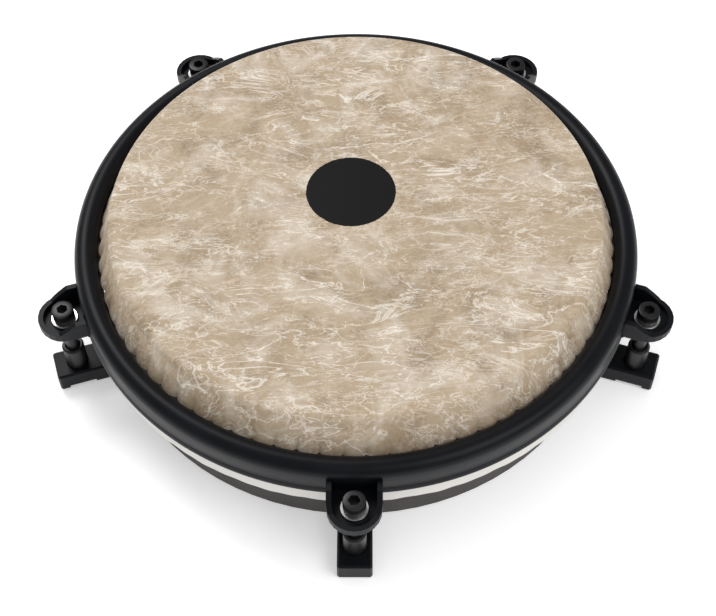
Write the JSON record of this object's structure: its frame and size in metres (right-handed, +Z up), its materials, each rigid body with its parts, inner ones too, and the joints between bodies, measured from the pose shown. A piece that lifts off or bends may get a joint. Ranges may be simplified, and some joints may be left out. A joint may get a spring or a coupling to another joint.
{
  "type": "travel conga drum",
  "caption": "Shallow open-bottomed hand drum with a tan conga head, a black rolled rim with cup-shaped ears, and socket-head tension bolts down to lugs it stands on.",
  "frame": {"origin": "middle of the drum's outline, lugs and ears included, on the plane that the lugs stand on. The drum's own axis is 13.3 mm behind it, towards +Y, because the front lug and ear reach out further than the back of the rim.", "axes": "+Z up along the drum's axis, towards the head. -Y towards the player, where one lug points. +X to the player's right."},
  "size_m": [0.3806, 0.3706, 0.0948],
  "materials": {
    "film": "tan mottled fibre film, slightly satin",
    "powder_coat": "satin black powder coat",
    "black_oxide": "black oxide on steel",
    "zinc": "bright zinc plate",
    "shell_plastic": "matt dark brown-grey",
    "hoop_steel": "plain steel bar"
  },
  "bodies": {
    "shell": {"shell": "shell_plastic", "lug_front": "powder_coat", "threaded_barrel_front": "black_oxide", "backing_plate_front": "zinc", "lug_screw_front_lower": "black_oxide", "lug_screw_front_upper": "black_oxide", "lug_right": "powder_coat", "threaded_barrel_right": "black_oxide", "backing_plate_right": "zinc", "lug_screw_right_lower": "black_oxide", "lug_screw_right_upper": "black_oxide", "lug_back_right": "powder_coat", "threaded_barrel_back_right": "black_oxide", "backing_plate_back_right": "zinc", "lug_screw_back_right_lower": "black_oxide", "lug_screw_back_right_upper": "black_oxide", "lug_back_left": "powder_coat", "threaded_barrel_back_left": "black_oxide", "backing_plate_back_left": "zinc", "lug_screw_back_left_lower": "black_oxide", "lug_screw_back_left_upper": "black_oxide", "lug_left": "powder_coat", "threaded_barrel_left": "black_oxide", "backing_plate_left": "zinc", "lug_screw_left_lower": "black_oxide", "lug_screw_left_upper": "black_oxide"},
    "head_assembly": {"drumhead": "film", "flesh_hoop": "hoop_steel", "rim": "powder_coat", "ear_front": "powder_coat", "washer_front": "zinc", "ear_right": "powder_coat", "washer_right": "zinc", "ear_back_right": "powder_coat", "washer_back_right": "zinc", "ear_back_left": "powder_coat", "washer_back_left": "zinc", "ear_left": "powder_coat", "washer_left": "zinc"},
    "bolt_front": {"bolt_front": "black_oxide"},
    "bolt_right": {"bolt_right": "black_oxide"},
    "bolt_back_right": {"bolt_back_right": "black_oxide"},
    "bolt_back_left": {"bolt_back_left": "black_oxide"},
    "bolt_left": {"bolt_left": "black_oxide"}
  },
  "joints": [
    {"name": "head_tuning", "type": "slide", "parent": "shell", "child": "head_assembly", "axis": [0, 0, 1], "range_m": [0, 0.012]},
    {"name": "bolt_front_turn", "type": "hinge", "parent": "head_assembly", "child": "bolt_front", "pos_m": [0, -0.1698, 0.0605], "axis": [0, 0, 1], "range_deg": [0, 3456]},
    {"name": "bolt_right_turn", "type": "hinge", "parent": "head_assembly", "child": "bolt_right", "pos_m": [0.17414, -0.04328, 0.0605], "axis": [0, 0, 1], "range_deg": [0, 3456]},
    {"name": "bolt_back_right_turn", "type": "hinge", "parent": "head_assembly", "child": "bolt_back_right", "pos_m": [0.10762, 0.16143, 0.0605], "axis": [0, 0, 1], "range_deg": [0, 3456]},
    {"name": "bolt_back_left_turn", "type": "hinge", "parent": "head_assembly", "child": "bolt_back_left", "pos_m": [-0.10762, 0.16143, 0.0605], "axis": [0, 0, 1], "range_deg": [0, 3456]},
    {"name": "bolt_left_turn", "type": "hinge", "parent": "head_assembly", "child": "bolt_left", "pos_m": [-0.17414, -0.04328, 0.0605], "axis": [0, 0, 1], "range_deg": [0, 3456]}
  ],
  "couplings": [
    {"joint": "bolt_front_turn", "follows": "head_tuning", "rad_per_m": 5026.5},
    {"joint": "bolt_right_turn", "follows": "head_tuning", "rad_per_m": 5026.5},
    {"joint": "bolt_back_right_turn", "follows": "head_tuning", "rad_per_m": 5026.5},
    {"joint": "bolt_back_left_turn", "follows": "head_tuning", "rad_per_m": 5026.5},
    {"joint": "bolt_left_turn", "follows": "head_tuning", "rad_per_m": 5026.5}
  ]
}
